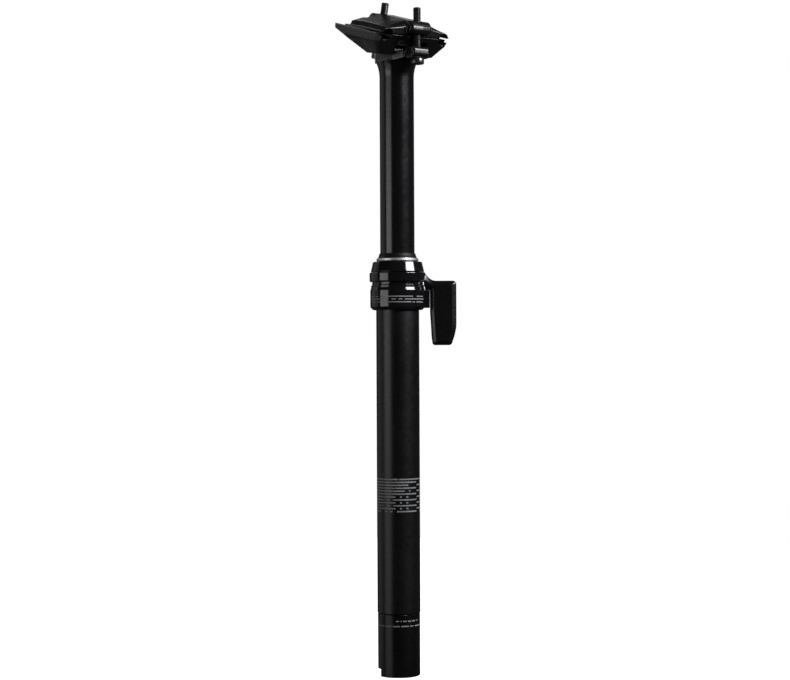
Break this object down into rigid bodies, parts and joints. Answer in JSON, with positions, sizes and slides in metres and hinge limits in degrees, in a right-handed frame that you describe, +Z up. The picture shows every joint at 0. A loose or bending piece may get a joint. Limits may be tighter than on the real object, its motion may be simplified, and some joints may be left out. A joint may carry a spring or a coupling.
{
  "type": "suspension seatpost",
  "caption": "Telescopic bicycle seatpost: an inner tube slides in an outer tube with a lever collar, under a rail clamp with two upright bolts.",
  "frame": {"origin": "centre of the foot's bottom face, on the post's axis", "axes": "+Z up the post's axis, +X towards the front of the bicycle, +Y to its left"},
  "size_m": [0.0595, 0.0578, 0.427],
  "materials": {
    "tube_black": "satin black anodised, with fine printed depth lines",
    "stanchion_black": "smooth black anodised, polished where the seal runs",
    "gloss_black": "gloss black",
    "forged_black": "satin black anodised forging",
    "steel": "bright turned steel",
    "bolt_black": "black oxide",
    "rubber": "matt black",
    "brass": "machined",
    "polymer": "dark grey, moulded"
  },
  "bodies": {
    "outer_post": {"outer_tube": "tube_black", "foot_sleeve": "tube_black", "foot_plug": "gloss_black", "actuator_housing": "polymer", "rocker_pin": "steel", "lever_return_spring": "steel", "piston_rod": "steel", "rod_lock_nut": "steel", "bottom_out_bumper": "rubber", "top_out_bumper": "rubber", "gas_piston": "brass", "piston_seal": "rubber", "piston_nut": "steel", "collar_body": "gloss_black", "seal_head": "gloss_black", "snap_ring": "steel", "wiper_seal": "rubber", "follower_guide": "polymer", "upper_bush": "polymer"},
    "hand_lever": {"lever_ring": "gloss_black"},
    "follower": {"cam_follower": "steel", "push_rod": "steel"},
    "rocker_arm": {"rocker": "steel"},
    "release": {"release_pin": "steel", "valve_poppet": "brass"},
    "stanchion": {"stanchion_tube": "stanchion_black", "lower_bush": "polymer", "guide_key_1": "brass", "guide_key_2": "brass", "guide_key_3": "brass", "head_forging": "forged_black", "cylinder_tube": "steel", "cylinder_lower_head": "steel", "rod_seal": "rubber", "cylinder_top_plug": "steel"},
    "floating": {"floating_piston": "polymer", "floating_piston_seal": "rubber"},
    "cradle": {"lower_cradle": "forged_black"},
    "upper": {"upper_clamp": "forged_black"},
    "front_nut": {"front_barrel_nut": "bolt_black"},
    "rear_nut": {"rear_barrel_nut": "bolt_black"},
    "front_washer": {"front_barrel_washer": "bolt_black"},
    "rear_washer": {"rear_barrel_washer": "bolt_black"},
    "front_screw": {"front_bolt": "bolt_black"},
    "rear_screw": {"rear_bolt": "bolt_black"}
  },
  "joints": [
    {"name": "post_travel", "type": "slide", "parent": "outer_post", "child": "stanchion", "axis": [0, 0, 1], "range_m": [-0.105, 0], "stiffness_N_per_m": 286, "springref_m": 0.315},
    {"name": "lever_swing", "type": "hinge", "parent": "outer_post", "child": "hand_lever", "pos_m": [0, 0, 0.25125], "axis": [0, 0, 1], "range_deg": [0, 18], "stiffness_Nm_per_rad": 0.12, "springref_deg": -17.19},
    {"name": "follower_slide", "type": "slide", "parent": "outer_post", "child": "follower", "axis": [0, 0, -1], "range_m": [0, 0.0016], "deforming": ["lever_return_spring"]},
    {"name": "rocker_turn", "type": "hinge", "parent": "outer_post", "child": "rocker_arm", "pos_m": [-0.00329, -0.00453, 0.018], "axis": [0.809, -0.5878, 0], "range_deg": [0, 15]},
    {"name": "release_slide", "type": "slide", "parent": "outer_post", "child": "release", "axis": [0, 0, 1], "range_m": [0, 0.0015]},
    {"name": "floating_piston_slide", "type": "slide", "parent": "stanchion", "child": "floating", "axis": [0, 0, 1], "range_m": [0, 0.03]},
    {"name": "clamp_tilt", "type": "hinge", "parent": "stanchion", "child": "cradle", "pos_m": [0, 0, 0.394], "axis": [0, 1, 0], "range_deg": [-10, 6]},
    {"name": "clamp_lift", "type": "slide", "parent": "cradle", "child": "upper", "axis": [0.1211, 0, 0.9926], "range_m": [0, 0.0015]},
    {"name": "front_nut_turn", "type": "hinge", "parent": "upper", "child": "front_nut", "pos_m": [0.02188, 0, 0.40603], "axis": [0, 1, 0], "range_deg": [-2.19, 3.38]},
    {"name": "rear_nut_turn", "type": "hinge", "parent": "upper", "child": "rear_nut", "pos_m": [-0.01463, 0, 0.41543], "axis": [0, 1, 0], "range_deg": [-0.57, 0.69]},
    {"name": "front_bolt_swing", "type": "hinge", "parent": "stanchion", "child": "front_washer", "pos_m": [0.022, 0, 0.3894], "axis": [0, 1, 0], "range_deg": [-7.42, 4.61]},
    {"name": "rear_bolt_swing", "type": "hinge", "parent": "stanchion", "child": "rear_washer", "pos_m": [-0.0192, 0, 0.3975], "axis": [0, 1, 0], "range_deg": [-10.11, 6.23]},
    {"name": "front_bolt_turn", "type": "hinge", "parent": "front_washer", "child": "front_screw", "pos_m": [0.022, 0, 0.3894], "axis": [-0.0071, 0, 1], "continuous": true},
    {"name": "rear_bolt_turn", "type": "hinge", "parent": "rear_washer", "child": "rear_screw", "pos_m": [-0.0192, 0, 0.3975], "axis": [0.2472, 0, 0.969], "continuous": true}
  ],
  "couplings": [
    {"joint": "follower_slide", "follows": "lever_swing", "m_per_rad": 0.0047746},
    {"joint": "rocker_turn", "follows": "lever_swing", "ratio": 0.791},
    {"joint": "release_slide", "follows": "lever_swing", "m_per_rad": 0.00439},
    {"joint": "floating_piston_slide", "follows": "post_travel", "ratio": -0.2844},
    {"joint": "front_bolt_swing", "follows": "clamp_tilt", "ratio": 0.7021},
    {"joint": "rear_bolt_swing", "follows": "clamp_tilt", "ratio": 0.9711},
    {"joint": "front_nut_turn", "follows": "clamp_tilt", "ratio": -0.2979},
    {"joint": "rear_nut_turn", "follows": "clamp_tilt", "ratio": -0.0289}
  ]
}
